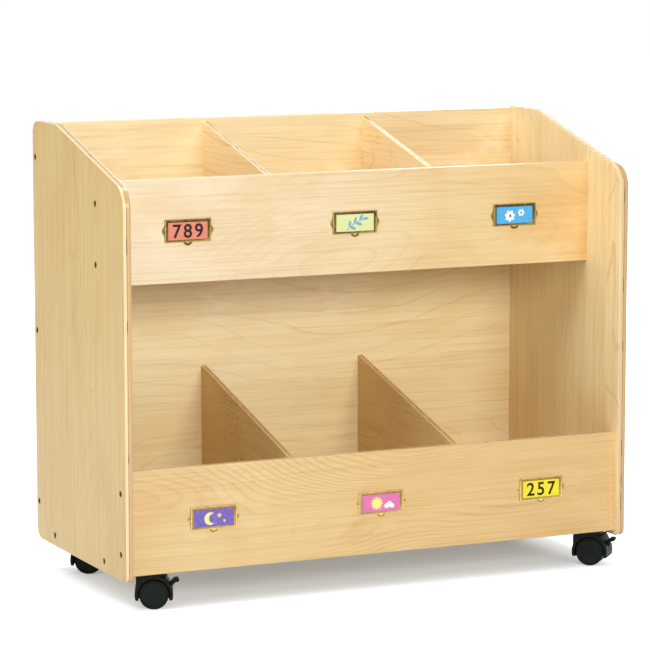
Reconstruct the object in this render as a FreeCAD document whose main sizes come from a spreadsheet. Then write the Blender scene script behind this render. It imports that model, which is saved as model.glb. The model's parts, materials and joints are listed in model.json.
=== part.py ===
"""Picture book browser bin on four twin-wheel casters, as a parametric FreeCAD document.

Two plywood sides carry a back panel, a bottom panel, a shelf and two front panels, which
make three upper bins and three lower bins. Brass holders with slide-in cards label the bins.
Millimetres; +X to the right, +Y to the rear, +Z up. The origin is on the floor, in the
middle of the width and of the depth.
"""
import FreeCAD, Part
import os
import re
import Sketcher
from FreeCAD import Placement, Rotation, Vector

doc = FreeCAD.newDocument("book_browser_bin")

# ------------------------------------------------------------------ driving dimensions, mm
SIZES = {
    # the carcase
    "overall_width": 927,  # over the outer faces of the sides
    "overall_depth": 419,  # front edge to rear edge of a side
    "side_top": 776,  # floor to the flat top of a side
    "side_bottom": 54,  # floor to the lower edge of a side
    "side_thickness": 15,
    "panel_thickness": 15,
    "divider_thickness": 10,
    "flat_top_length": 112,  # flat part of a side's top edge, behind the slope
    "slope_drop": 86,  # fall of the slope, from the flat top to the front edge
    "top_front_radius": 40,
    "top_rear_radius": 22,
    "bottom_rear_radius": 22,
    "bottom_front_radius": 12,
    "slope_radius": 20,  # where the flat top turns into the slope
    "side_edge_round": 3,
    "panel_edge_round": 1.5,
    # the boards between the sides
    "front_panel_height": 173,
    "lower_front_setback": 12,  # from the front edge of the sides
    "lower_front_bottom": 62,
    "upper_front_setback": 115,
    "upper_front_drop": 253,  # lower edge of the upper front panel, below the sides' flat top
    "back_inset": 6,  # rear face of the back panel, from the rear edge of the sides
    "back_bottom": 62,
    "back_top_drop": 4,  # below the sides' flat top
    "bottom_underside": 66,  # floor to the underside of the bottom panel
    "shelf_rise": 3,  # underside of the shelf, above the upper front panel's lower edge
    "dado_depth": 5,  # of the grooves that carry the shelf's ends
    "upper_divider_back_drop": 6.5,  # top of the divider, below the back panel's top
    "upper_divider_front_drop": 2,  # the same, below the upper front panel's top
    "lower_divider_shift": -6,  # of the pair, from the middle of the width
    "lower_divider_back_top": 338,
    "lower_divider_front_drop": 0,  # below the lower front panel's top
    # screws
    "screw_head_radius": 5.5,
    "screw_head_depth": 3,
    "screw_shank_radius": 2.25,
    "screw_point_length": 4,
    "screw_sink": 1.2,  # head, below the wood
    "side_screw_length": 38,
    "back_screw_length": 38,
    "caster_screw_length": 13,
    "caster_screw_head_radius": 3.75,
    "caster_screw_head_depth": 2,
    "caster_screw_shank_radius": 2,
    "rear_screw_spacing": 297,
    "front_screw_spacing": 100,
    "bottom_screw_spacing": 233,
    "back_screw_spacing": 220,
    "divider_screw_margin": 50,  # from a divider's lower end and from its top
    # label holders and cards
    "holder_width": 82,
    "holder_height": 38,
    "holder_depth": 2,
    "holder_lip": 0.8,  # thickness of the frame in front of the card, and of the ears
    "ear_reach": 4.5,  # of an ear, beyond the frame
    "ear_root": 11,  # half height of an ear, at the frame
    "ear_tip": 3.5,  # half height of an ear, at its end
    "tab_radius": 9,
    "tab_drop": 6,  # of the finger tab, below the frame
    "window_width": 70,
    "window_height": 29,
    "window_base": 3.9,  # frame below the window
    "card_width": 75.4,
    "card_thickness": 0.6,
    "card_channel_base": 2.5,  # frame below the card
    "pin_head_radius": 1.6,
    "pin_head_height": 1,
    "pin_shank_radius": 0.8,
    "pin_length": 9,
    # casters
    "caster_side_inset": 52,  # swivel axis, from a side's outer face
    "caster_front_inset": 56,
    "caster_rear_inset": 62,
    "front_left_swivel": -22,  # degrees, direction of trail from +X
    "front_right_swivel": -44,
    "rear_left_swivel": -21,
    "rear_right_swivel": -58,
    "mount_plate_side": 38,
    "mount_plate_thickness": 2.5,
    "mount_plate_radius": 4,
    "plate_screw_spacing": 28,
    "kingpin_radius": 4,
    "kingpin_drop": 17,  # of the kingpin, below its plate
    "wheel_radius": 24,
    "wheel_width": 16.5,
    "wheel_trail": 18,
    "wheel_shoulder": 1.2,
    "wheel_bore_depth": 14.5,
    "rim_groove_radius": 21,
    "rim_groove_width": 1.2,
    "rim_groove_depth": 0.8,
    "face_dish_radius": 6,
    "inner_recess_depth": 2.5,
    "inner_recess_radius": 20,
    "wheel_boss_radius": 7,
    "axle_radius": 3,
    "web_thickness": 8.4,  # of the hood's web, between the wheels
    "tread_gap": 2.5,  # wheel to hood
    "hood_wall": 5,
    "hood_width": 43,
    "hood_top": 60,
    "turret_gap": 0.8,  # hood to side panel, as the hood swings past
    "hood_lip": 8.8,  # reach of the hood's skirt, below the wheel's centre
    "hood_front": 29.4,  # flat front of the hood, ahead of the wheel's centre
    "hood_shoulder": 17.2,  # rear end of the hood's flat top, behind the wheel's centre
    "hood_cheek_reach": 26.5,  # lower end of the sloped cheek behind the shoulder
    "hood_cheek_rise": 17.4,
    "hood_edge_round": 1.6,
    "neck_radius": 9.8,
    # brake levers
    "lever_pivot_reach": 26.1,  # pivot, behind and above the wheel's centre
    "lever_pivot_rise": 13.3,
    "lever_reach": 15.7,  # tip of the lever, behind its pivot
    "lever_rise": 11.8,  # top of the lever, above its pivot
    "lever_hub_radius": 2.9,
    "lever_nose": 5,
    "lever_width": 13.4,
    "lever_slot_radius": 5.3,
    "trunnion_radius": 1.2,
    "trunnion_length": 2,
    # fits
    "running_clearance": 0.05,
    "joint_gap": 0.3,
}
sheet = doc.addObject("Spreadsheet::Sheet", "Sizes")
for row, (alias, value) in enumerate(SIZES.items(), start=1):
    sheet.set(f"A{row}", str(value))
    sheet.setAlias(f"A{row}", alias)
doc.recompute()

# ------------------------------------------------------------------ planes that pieces share
UPPER_BOTTOM = "(side_top - upper_front_drop)"
BACK_TOP = "(side_top - back_top_drop)"
SIDE_INNER = "(overall_width / 2 - side_thickness)"
BIN_PITCH = "((overall_width - side_thickness) / 3)"
FRONT_EDGE = "(-overall_depth / 2)"
LOWER_FRONT = f"({FRONT_EDGE} + lower_front_setback)"
UPPER_FRONT = f"({FRONT_EDGE} + upper_front_setback)"
BACK_FRONT = "(overall_depth / 2 - back_inset - panel_thickness)"
SHELF_UNDERSIDE = f"({UPPER_BOTTOM} + shelf_rise)"
SHELF_TOP = f"({SHELF_UNDERSIDE} + panel_thickness)"
BOTTOM_TOP = "(bottom_underside + panel_thickness)"
PLATE_UNDERSIDE = "(bottom_underside - mount_plate_thickness)"
HOOD_RADIUS = "(wheel_radius + tread_gap + hood_wall)"
WHEEL_INNER = "(web_thickness / 2 + joint_gap)"

nodes = {}


# ------------------------------------------------------------------ helpers
def size(alias):
    """A size, read from the sheet."""
    return float(getattr(sheet, alias))


def formula(text):
    """A formula in plain words, with each size's name pointing at the sheet."""

    def point(word):
        return f"Sizes.{word.group()}" if word.group() in SIZES else word.group()

    return re.sub(r"[a-z_]{3,}", point, str(text))


def bind(item, **formulas):
    """Ties properties of an object to formulas; Base_x stands for Placement.Base.x."""
    for name, text in formulas.items():
        path = name.replace("Base_", "Placement.Base.")
        item.setExpression(path, formula(text))


def new_body(label, x=0, y=0, z=0, turn=0):
    """An empty body that stands at x, y, z, turned about the vertical."""
    body = doc.addObject("PartDesign::Body", label)
    bind(body, Base_x=x, Base_y=y, Base_z=z)
    body.setExpression("Placement.Rotation.Angle", formula(turn))
    return body


def keep(label, item):
    """Names an object as a finished piece of the bin."""
    item.Label = label
    nodes[label] = item


def primitive(body, kind, name, spin=None, **formulas):
    """A PartDesign primitive; spin is the rotation that lays its own axis down."""
    item = body.newObject(f"PartDesign::{kind}", name)
    if spin:
        item.Placement = Placement(Vector(), spin)
    bind(item, **formulas)
    return item


def plane(body, role):
    return next(part for part in body.Origin.OriginFeatures if part.Role == role)


def outline(body, name, role, points, offset_x=0, offset_z=0):
    """A closed sketch of straight lines, every corner tied to the sheet by its formulas."""
    sketch = body.newObject("Sketcher::SketchObject", name)
    sketch.AttachmentSupport = [(plane(body, role), "")]
    sketch.MapMode = "FlatFace"
    sketch.setExpression("AttachmentOffset.Base.x", formula(offset_x))
    sketch.setExpression("AttachmentOffset.Base.z", formula(offset_z))
    count = len(points)
    start = [Vector(number % 3, number, 0) for number in range(count)]
    for number in range(count):
        sketch.addGeometry(Part.LineSegment(start[number], start[(number + 1) % count]))
    for number in range(count):
        sketch.addConstraint(Sketcher.Constraint("Coincident", number, 2, (number + 1) % count, 1))
    for number, corner in enumerate(points):
        for axis, text in zip("XY", corner):
            held = Sketcher.Constraint(f"Distance{axis}", -1, 1, number, 1, 1.0)
            index = sketch.addConstraint(held)
            sketch.renameConstraint(index, f"{axis}{number}")
            sketch.setExpression(f"Constraints.{axis}{number}", formula(text))
    sketch.recompute()
    return sketch


def pad(body, name, sketch, length, midplane=False):
    item = body.newObject("PartDesign::Pad", name)
    item.Profile = sketch
    item.Midplane = midplane
    bind(item, Length=length)
    return item


def rounded(body, name, base, radius, wanted, kind="Edges"):
    """Rounds the edges, or the rims of the faces, whose centres pass the test."""
    doc.recompute()
    word = kind[:-1]
    chosen = [
        f"{word}{number}"
        for number, element in enumerate(getattr(base.Shape, kind), start=1)
        if wanted(element, element.CenterOfMass)
    ]
    if not chosen:
        raise RuntimeError(f"{name} has nothing to round")
    item = body.newObject("PartDesign::Fillet", name)
    item.Base = (base, chosen)
    bind(item, Radius=radius)
    return item


def runs_along(axis, edge):
    """True for a straight edge along an axis."""
    if not isinstance(edge.Curve, Part.Line):
        return False
    return abs(abs(getattr(edge.Curve.Direction, axis)) - 1) < 1e-6


def near(first, second):
    return abs(first - second) < 0.01


def drilled(label, body, *hole_groups):
    """The finished board: a body with the holes of the fasteners that pass through it."""
    holes = doc.addObject("Part::Compound", f"{label}_holes")
    holes.Links = list(hole_groups)
    cut = doc.addObject("Part::Cut", f"{label}_drilled")
    cut.Base = body
    cut.Tool = holes
    keep(label, cut)


def turned(points, dome=None):
    """A solid of revolution about Z, from (radius, height) points; dome bows the first edge."""
    corners = [Vector(radius, 0, height) for radius, height in points]
    edges = [Part.makeLine(a, b) for a, b in zip(corners, corners[1:] + corners[:1])]
    if dome:
        edges[0] = Part.Arc(corners[0], Vector(dome[0], 0, dome[1]), corners[1]).toShape()
    return Part.Face(Part.Wire(edges)).revolve(Vector(), Vector(0, 0, 1), 360)


def group(label, shape, seats):
    """Copies of one shape as a group; a seat is a point and the direction driven in."""
    item = doc.addObject("Part::Feature", label)
    copies = []
    for point, direction in seats:
        copy = shape.copy()
        copy.Placement = Placement(point, Rotation(Vector(0, 0, 1), direction))
        copies.append(copy)
    item.Shape = Part.makeCompound(copies)
    return item


def screw_shapes(kind, length, sink):
    """A countersunk screw driven along +Z from a surface at zero, and the hole that it fills."""
    head, shank = size(f"{kind}_head_radius"), size(f"{kind}_shank_radius")
    neck, point = sink + size(f"{kind}_head_depth"), length - size("screw_point_length")
    tapered = [(shank, neck), (shank, point), (0, length)]
    screw = turned([(0, sink), (head, sink)] + tapered)
    mouth = [(0, -head), (head, -head), (head, sink)] if sink else [(0, sink), (head, sink)]
    return screw, turned(mouth + tapered)


# ------------------------------------------------------------------ boards
def side_panel(label, hand):
    """A side, hand -1 for the left and 1 for the right, with the groove of the shelf inside."""
    outer = "-overall_width / 2" if hand < 0 else SIDE_INNER
    body = new_body(f"{label}_board", x=outer)
    front, rear = FRONT_EDGE, "overall_depth / 2"
    points = [
        (front, "side_bottom"),
        (rear, "side_bottom"),
        (rear, "side_top"),
        (f"{rear} - flat_top_length", "side_top"),
        (front, "side_top - slope_drop"),
    ]
    base = pad(body, f"{label}_pad", outline(body, f"{label}_outline", "YZ_Plane", points),
               "side_thickness")
    depth, middle = size("overall_depth"), (size("side_top") + size("side_bottom")) / 2
    corners = {
        "bottom_front_radius": lambda point: point.y < 0 and point.z < middle,
        "bottom_rear_radius": lambda point: point.y > 0 and point.z < middle,
        "top_rear_radius": lambda point: near(point.y, depth / 2) and point.z > middle,
        "top_front_radius": lambda point: near(point.y, -depth / 2) and point.z > middle,
        "slope_radius": lambda point: abs(point.y) < depth / 2 - 1 and point.z > middle,
    }
    for radius, at_corner in corners.items():
        base = rounded(body, f"{label}_{radius}", base, radius,
                       lambda edge, point: runs_along("x", edge) and at_corner(point))
    doc.recompute()
    broad = max(face.Area for face in base.Shape.Faces)
    base = rounded(body, f"{label}_edges", base, "side_edge_round",
                   lambda face, point: face.Area > broad / 2, "Faces")
    primitive(body, "SubtractiveBox", f"{label}_dado", Length="dado_depth",
              Width=f"{BACK_FRONT} - {UPPER_FRONT} - panel_thickness", Height="panel_thickness",
              Base_x="side_thickness - dado_depth" if hand < 0 else 0,
              Base_y=f"{UPPER_FRONT} + panel_thickness", Base_z=SHELF_UNDERSIDE)
    return body


def panel(label, x, y, z, length, width, height, soft=None):
    """A rectangular board; soft picks which of its long edges are eased."""
    body = new_body(f"{label}_board", x=x, y=y, z=z)
    box = primitive(body, "AdditiveBox", f"{label}_box", Length=length, Width=width, Height=height)
    if soft:
        doc.recompute()
        top, deep = box.Height.Value, box.Width.Value
        rounded(body, f"{label}_edges", box, "panel_edge_round",
                lambda edge, point: runs_along("x", edge) and soft(point, deep, top))
    return body


def divider(label, middle, front, base, front_top, back_top):
    """An upright board between a front panel and the back panel, with a sloping top edge."""
    body = new_body(f"{label}_board", x=f"{middle} - divider_thickness / 2")
    points = [(front, base), (BACK_FRONT, base), (BACK_FRONT, back_top), (front, front_top)]
    solid = pad(body, f"{label}_pad", outline(body, f"{label}_outline", "YZ_Plane", points),
                "divider_thickness")
    doc.recompute()
    half = size("divider_thickness") / 2
    rounded(body, f"{label}_edges", solid, "panel_edge_round",
            lambda edge, point: abs(edge.Vertexes[0].Y - edge.Vertexes[-1].Y) > half
            and abs(edge.Vertexes[0].Z - edge.Vertexes[-1].Z) > half)
    return body


INNER_WIDTH = f"2 * {SIDE_INNER}"
left_side = side_panel("left_side_panel", -1)
right_side = side_panel("right_side_panel", 1)
lower_front = panel(
    "lower_front_panel", f"-{SIDE_INNER}", LOWER_FRONT, "lower_front_bottom",
    INNER_WIDTH, "panel_thickness", "front_panel_height",
    soft=lambda point, deep, top: point.z > top / 2 or point.y < deep / 2)
upper_front = panel(
    "upper_front_panel", f"-{SIDE_INNER}", UPPER_FRONT, UPPER_BOTTOM,
    INNER_WIDTH, "panel_thickness", "front_panel_height", soft=lambda point, deep, top: True)
back = panel(
    "back_panel", f"-{SIDE_INNER}", BACK_FRONT, "back_bottom",
    INNER_WIDTH, "panel_thickness", f"{BACK_TOP} - back_bottom",
    soft=lambda point, deep, top: point.z > top / 2 or point.y > deep / 2)
bottom = panel(
    "bottom_panel", f"-{SIDE_INNER}", f"{LOWER_FRONT} + panel_thickness", "bottom_underside",
    INNER_WIDTH, f"{BACK_FRONT} - {LOWER_FRONT} - panel_thickness", "panel_thickness")
shelf = panel(
    "upper_shelf", f"-{SIDE_INNER} - dado_depth", f"{UPPER_FRONT} + panel_thickness",
    SHELF_UNDERSIDE, f"{INNER_WIDTH} + 2 * dado_depth",
    f"{BACK_FRONT} - {UPPER_FRONT} - panel_thickness", "panel_thickness")
dividers = {}
for hand, side in ((-1, "left"), (1, "right")):
    dividers[f"upper_divider_{side}"] = divider(
        f"upper_divider_{side}", f"{hand} * {BIN_PITCH} / 2",
        f"{UPPER_FRONT} + panel_thickness", SHELF_TOP,
        f"{UPPER_BOTTOM} + front_panel_height - upper_divider_front_drop",
        f"{BACK_TOP} - upper_divider_back_drop")
    dividers[f"lower_divider_{side}"] = divider(
        f"lower_divider_{side}", f"{hand} * {BIN_PITCH} / 2 + lower_divider_shift",
        f"{LOWER_FRONT} + panel_thickness", BOTTOM_TOP,
        "lower_front_bottom + front_panel_height - lower_divider_front_drop",
        "lower_divider_back_top")
doc.recompute()


# ------------------------------------------------------------------ screws of the boards
def middle_of(body):
    return body.Shape.BoundBox.Center


def both_sides(middle, spacing):
    return [middle - spacing / 2, middle + spacing / 2]


def side_seats(hand):
    """Where the screws of one side start, on its outer face."""
    outer, inward = hand * size("overall_width") / 2, Vector(-hand, 0, 0)
    rear, low = middle_of(back), middle_of(bottom)
    spots = [(rear.y, rear.z + step * size("rear_screw_spacing")) for step in (-1, 0, 1)]
    for front in (lower_front, upper_front):
        height = middle_of(front)
        spots += [(height.y, z) for z in both_sides(height.z, size("front_screw_spacing"))]
    spots += [(y, low.z) for y in both_sides(low.y, size("bottom_screw_spacing"))]
    return [(Vector(outer, y, z), inward) for y, z in spots]


def back_seats():
    """Where the screws through the back panel start, on its rear face."""
    rear, spacing, spots = back.Shape.BoundBox.YMax, size("back_screw_spacing"), []
    for board in (bottom, shelf):
        spots += [(step * spacing, middle_of(board).z) for step in (-1.5, -0.5, 0.5, 1.5)]
    for board in dividers.values():
        box, margin = board.Shape.BoundBox, size("divider_screw_margin")
        spots += [(box.Center.x, box.ZMin + margin), (box.Center.x, box.ZMax - margin)]
    return [(Vector(x, rear, z), Vector(0, -1, 0)) for x, z in spots]


side_screw, side_hole = screw_shapes("screw", size("side_screw_length"), size("screw_sink"))
side_holes = {}
for hand, side in ((-1, "left"), (1, "right")):
    keep(f"{side}_side_screws", group(f"{side}_side_screws", side_screw, side_seats(hand)))
    side_holes[side] = group(f"{side}_side_screw_holes", side_hole, side_seats(hand))
back_screw, back_hole = screw_shapes("screw", size("back_screw_length"), size("screw_sink"))
keep("back_screws", group("back_screws", back_screw, back_seats()))
back_holes = group("back_screw_holes", back_hole, back_seats())


# ------------------------------------------------------------------ label holders and cards
def label_holder(label, x, y, z):
    """A stamped brass frame, open at the top behind its lip, with pinned ears and a finger tab."""
    body = new_body(f"{label}_stamping", x=x, y=y, z=z)
    edge, ear = "holder_width / 2", "(holder_width / 2 + ear_reach)"
    ears = [(edge, "-ear_root"), (ear, "-ear_tip"), (ear, "ear_tip"), (edge, "ear_root"),
            (f"-{edge}", "ear_root"), (f"-{ear}", "ear_tip"), (f"-{ear}", "-ear_tip"),
            (f"-{edge}", "-ear_root")]
    pad(body, f"{label}_ears", outline(body, f"{label}_ear_outline", "XZ_Plane", ears), "holder_lip")
    frame = primitive(body, "AdditiveBox", f"{label}_frame", Length="holder_width",
                      Width="holder_depth", Height="holder_height", Base_x=f"-{edge}",
                      Base_y="-holder_depth", Base_z="-holder_height / 2")
    primitive(body, "AdditiveCylinder", f"{label}_tab", Rotation(Vector(1, 0, 0), 90),
              Radius="tab_radius", Height="holder_depth",
              Base_z="tab_radius - tab_drop - holder_height / 2")
    primitive(body, "SubtractiveBox", f"{label}_channel", Length="card_width + 2 * joint_gap",
              Width="holder_depth - holder_lip", Height="holder_height",
              Base_x="-card_width / 2 - joint_gap", Base_y="holder_lip - holder_depth",
              Base_z="card_channel_base - holder_height / 2")
    primitive(body, "SubtractiveBox", f"{label}_window", Length="window_width",
              Width="2 * holder_depth", Height="window_height", Base_x="-window_width / 2",
              Base_y="-1.5 * holder_depth", Base_z="window_base - holder_height / 2")
    return body


def label_card(label, x, y, z):
    """A card that stands in the holder's channel, a gap clear of it on every side."""
    body = new_body(f"{label}_blank", x=x, y=y, z=z)
    height = "holder_height - card_channel_base - joint_gap"
    primitive(body, "AdditiveBox", f"{label}_box", Length="card_width", Width="card_thickness",
              Height=height, Base_x="-card_width / 2", Base_y="-card_thickness - joint_gap",
              Base_z="card_channel_base + joint_gap - holder_height / 2")
    keep(label, body)


def pin_shapes():
    """A domed escutcheon pin driven along +Z from an ear's face at zero, and its hole."""
    head, shank, length = size("pin_head_radius"), size("pin_shank_radius"), size("pin_length")
    rise = size("pin_head_height")
    shaft = [(shank, 0), (shank, length - 2 * shank), (0, length)]
    pin = turned([(0, -rise), (head, 0)] + shaft, dome=(head * 0.66, -rise * 0.68))
    return pin, turned([(0, 0)] + shaft)


holders, pin_seats = {}, []
for level, face, height in (("upper", UPPER_FRONT, UPPER_BOTTOM),
                            ("lower", LOWER_FRONT, "lower_front_bottom")):
    for step, column in ((-1, "left"), (0, "middle"), (1, "right")):
        place = (f"{step} * {BIN_PITCH}", face, f"{height} + front_panel_height / 2")
        name = f"{level}_{column}_label"
        holders[f"{name}_holder"] = label_holder(f"{name}_holder", *place)
        label_card(f"{name}_card", *place)
doc.recompute()
for stamping in holders.values():
    centre = stamping.Placement.Base
    for x in both_sides(centre.x, size("holder_width") + size("ear_reach")):
        pin_seats.append((Vector(x, centre.y - size("holder_lip"), centre.z), Vector(0, 1, 0)))
pin, pin_hole = pin_shapes()
keep("holder_pins", group("holder_pins", pin, pin_seats))
pin_holes = group("holder_pin_holes", pin_hole, pin_seats)
for label, stamping in holders.items():
    drilled(label, stamping, pin_holes)

# ------------------------------------------------------------------ casters
LYING = Rotation(Vector(1, 0, 0), 90)  # turns a cylinder's axis from +Z to -Y


def cross_cylinder(body, kind, name, radius, length, reach, rise):
    """A cylinder along Y, centred on the caster's middle plane."""
    return primitive(body, kind, name, LYING, Radius=radius, Height=length,
                     Base_x=reach, Base_y=f"({length}) / 2", Base_z=rise)


def mount_plate(label, x, y):
    body = new_body(f"{label}_blank", x=x, y=y, z=PLATE_UNDERSIDE)
    box = primitive(body, "AdditiveBox", f"{label}_box", Length="mount_plate_side",
                    Width="mount_plate_side", Height="mount_plate_thickness",
                    Base_x="-mount_plate_side / 2", Base_y="-mount_plate_side / 2")
    rounded(body, f"{label}_corners", box, "mount_plate_radius",
            lambda edge, point: runs_along("z", edge))
    primitive(body, "SubtractiveCylinder", f"{label}_pin_hole", Radius="kingpin_radius",
              Height="mount_plate_thickness")
    return body


def kingpin(label, x, y):
    body = new_body(f"{label}_turning", x=x, y=y, z=f"{PLATE_UNDERSIDE} - kingpin_drop")
    primitive(body, "AdditiveCylinder", f"{label}_shaft", Radius="kingpin_radius",
              Height="kingpin_drop + mount_plate_thickness")
    keep(label, body)


def hood(label, x, y, turn, brake):
    """The swivelling hood: a skirt over both wheels, a web between them and a neck on top."""
    body = new_body(f"{label}_moulding", x=x, y=y, turn=turn)
    cross_cylinder(body, "AdditiveCylinder", f"{label}_drum", HOOD_RADIUS, "hood_width",
                   "wheel_trail", "wheel_radius")
    centre_x, centre_z = "wheel_trail", "wheel_radius"
    crown = [
        (f"{centre_x} - hood_front", f"{centre_z} + hood_lip"),
        (f"{centre_x} - hood_front", "hood_top"),
        (f"{centre_x} + hood_shoulder", "hood_top"),
        (f"{centre_x} + hood_cheek_reach", f"{centre_z} + hood_cheek_rise"),
        (centre_x, centre_z),
    ]
    sketch = outline(body, f"{label}_crown_outline", "XZ_Plane", crown)
    crown_pad = pad(body, f"{label}_crown", sketch, "hood_width", midplane=True)
    doc.recompute()
    half = size("hood_width") / 2
    rounded(body, f"{label}_edges", crown_pad, "hood_edge_round",
            lambda face, point: near(abs(point.y), half), "Faces")
    primitive(body, "SubtractiveBox", f"{label}_open_base", Length=f"4 * {HOOD_RADIUS}",
              Width="2 * hood_width", Height=f"2 * {HOOD_RADIUS}",
              Base_x=f"wheel_trail - 2 * {HOOD_RADIUS}", Base_y="-hood_width",
              Base_z=f"wheel_radius - hood_lip - 2 * {HOOD_RADIUS}")
    turret, ledge = "caster_side_inset - side_thickness - turret_gap", "side_bottom - turret_gap"
    swing = [(turret, ledge), (f"2 * ({turret})", ledge), (f"2 * ({turret})", "side_top"),
             (turret, "side_top")]
    around = body.newObject("PartDesign::Groove", f"{label}_turret")
    around.Profile = outline(body, f"{label}_turret_outline", "XZ_Plane", swing)
    around.ReferenceAxis = (around.Profile[0], ["V_Axis"])
    around.Angle = 360
    for hand in (-1, 1):
        primitive(body, "SubtractiveCylinder", f"{label}_wheel_well_{hand + 2}", LYING,
                  Radius="wheel_radius + tread_gap", Height="hood_width", Base_x="wheel_trail",
                  Base_y="-web_thickness / 2" if hand < 0 else "web_thickness / 2 + hood_width",
                  Base_z="wheel_radius")
    primitive(body, "AdditiveCylinder", f"{label}_neck", Radius="neck_radius",
              Height=f"{PLATE_UNDERSIDE} - joint_gap - hood_top + hood_wall",
              Base_z="hood_top - hood_wall")
    primitive(body, "SubtractiveCylinder", f"{label}_pin_bore",
              Radius="kingpin_radius + running_clearance",
              Height="kingpin_drop + joint_gap + mount_plate_thickness",
              Base_z=f"{PLATE_UNDERSIDE} - kingpin_drop - joint_gap")
    cross_cylinder(body, "SubtractiveCylinder", f"{label}_axle_hole", "axle_radius", "hood_width",
                   "wheel_trail", "wheel_radius")
    if brake:
        pivot = ("wheel_trail + lever_pivot_reach", "wheel_radius + lever_pivot_rise")
        cross_cylinder(body, "SubtractiveCylinder", f"{label}_lever_slot", "lever_slot_radius",
                       "lever_width + 2 * joint_gap", *pivot)
        cross_cylinder(body, "SubtractiveCylinder", f"{label}_trunnion_hole",
                       "trunnion_radius + running_clearance",
                       "lever_width + 2 * trunnion_length + 2 * joint_gap", *pivot)
    keep(label, body)


def axle(label, x, y, turn):
    body = new_body(f"{label}_turning", x=x, y=y, turn=turn)
    cross_cylinder(body, "AdditiveCylinder", f"{label}_rod", "axle_radius",
                   f"2 * ({WHEEL_INNER} + wheel_bore_depth - joint_gap)",
                   "wheel_trail", "wheel_radius")
    keep(label, body)


def wheel(label, x, y, turn, hand):
    """A wheel with a closed outer face, turned about its axle; hand -1 for the near one."""
    body = new_body(f"{label}_turning", x=x, y=y, turn=turn)
    groove, half = "rim_groove_radius", "rim_groove_width / 2"
    bore = "axle_radius + running_clearance"
    profile = [
        (bore, 0),
        ("wheel_boss_radius", 0),
        ("wheel_boss_radius", "inner_recess_depth"),
        ("inner_recess_radius", "inner_recess_depth"),
        ("inner_recess_radius", 0),
        ("wheel_radius", 0),
        ("wheel_radius", "wheel_width"),
        (f"{groove} + {half}", "wheel_width"),
        (groove, "wheel_width - rim_groove_depth"),
        (f"{groove} - {half}", "wheel_width"),
        ("face_dish_radius + rim_groove_depth", "wheel_width"),
        ("face_dish_radius", "wheel_width - rim_groove_depth"),
        (0, "wheel_width - rim_groove_depth"),
        (0, "wheel_bore_depth"),
        (bore, "wheel_bore_depth"),
    ]
    points = [(radius, f"{hand} * ({WHEEL_INNER} + {across})") for radius, across in profile]
    sketch = outline(body, f"{label}_profile", "XY_Plane", points, offset_x="wheel_trail",
                     offset_z="wheel_radius")
    spun = body.newObject("PartDesign::Revolution", f"{label}_spun")
    spun.Profile = sketch
    spun.ReferenceAxis = (sketch, ["V_Axis"])
    spun.Angle = 360
    doc.recompute()
    tread = size("wheel_radius")
    rounded(body, f"{label}_shoulders", spun, "wheel_shoulder",
            lambda edge, point: isinstance(edge.Curve, Part.Circle)
            and near(edge.Curve.Radius, tread))
    keep(label, body)


def brake_lever(label, x, y, turn):
    """The foot lever: a hub with trunnions and a nose over the treads, and a cranked arm."""
    body = new_body(f"{label}_moulding", x=x, y=y, turn=turn)
    pivot_x, pivot_z = "wheel_trail + lever_pivot_reach", "wheel_radius + lever_pivot_rise"

    def from_pivot(reach, rise):
        return (f"{pivot_x} + ({reach})", f"{pivot_z} + ({rise})")

    bends = [(0, 0), (0.06, 0.32), (0.17, 0.61), (0.46, 0.97), (0.85, 1), (1, 0.71),
             (0.87, 0.44), (0.59, 0.41), (0.42, 0.15), (0.24, -0.11)]
    arm = [from_pivot(f"{along} * lever_reach", f"{up} * lever_rise") for along, up in bends]
    arm_pad = pad(body, f"{label}_arm", outline(body, f"{label}_arm_outline", "XZ_Plane", arm),
                  "lever_width", midplane=True)
    doc.recompute()
    tip = size("wheel_trail") + size("lever_pivot_reach") + 2.5
    rounded(body, f"{label}_arm_bends", arm_pad, "lever_hub_radius / 2",
            lambda edge, point: runs_along("y", edge) and point.x > tip)
    nose = [from_pivot("-lever_hub_radius * sin(38)", "lever_hub_radius * cos(38)"),
            from_pivot("-lever_nose * cos(52)", "-lever_nose * sin(52)"),
            from_pivot("lever_hub_radius * sin(38)", "-lever_hub_radius * cos(38)")]
    pad(body, f"{label}_nose", outline(body, f"{label}_nose_outline", "XZ_Plane", nose),
        "lever_width", midplane=True)
    cross_cylinder(body, "AdditiveCylinder", f"{label}_hub", "lever_hub_radius", "lever_width",
                   pivot_x, pivot_z)
    cross_cylinder(body, "AdditiveCylinder", f"{label}_trunnions", "trunnion_radius",
                   "lever_width + 2 * trunnion_length", pivot_x, pivot_z)
    keep(label, body)


plates = {}
for end, inset, depth_sign in (("front", "caster_front_inset", -1), ("rear", "caster_rear_inset", 1)):
    for side, width_sign in (("left", -1), ("right", 1)):
        name = f"{end}_{side}_caster"
        spot = (f"{width_sign} * (overall_width / 2 - caster_side_inset)",
                f"{depth_sign} * (overall_depth / 2 - {inset})")
        trail = f"{end}_{side}_swivel"
        plates[f"{name}_mount_plate"] = mount_plate(f"{name}_mount_plate", *spot)
        kingpin(f"{name}_kingpin", *spot)
        hood(f"{name}_hood", *spot, trail, brake=end == "front")
        axle(f"{name}_axle", *spot, trail)
        wheel(f"{name}_near_wheel", *spot, trail, -1)
        wheel(f"{name}_far_wheel", *spot, trail, 1)
        if end == "front":
            brake_lever(f"{name}_brake_lever", *spot, trail)
doc.recompute()

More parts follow.
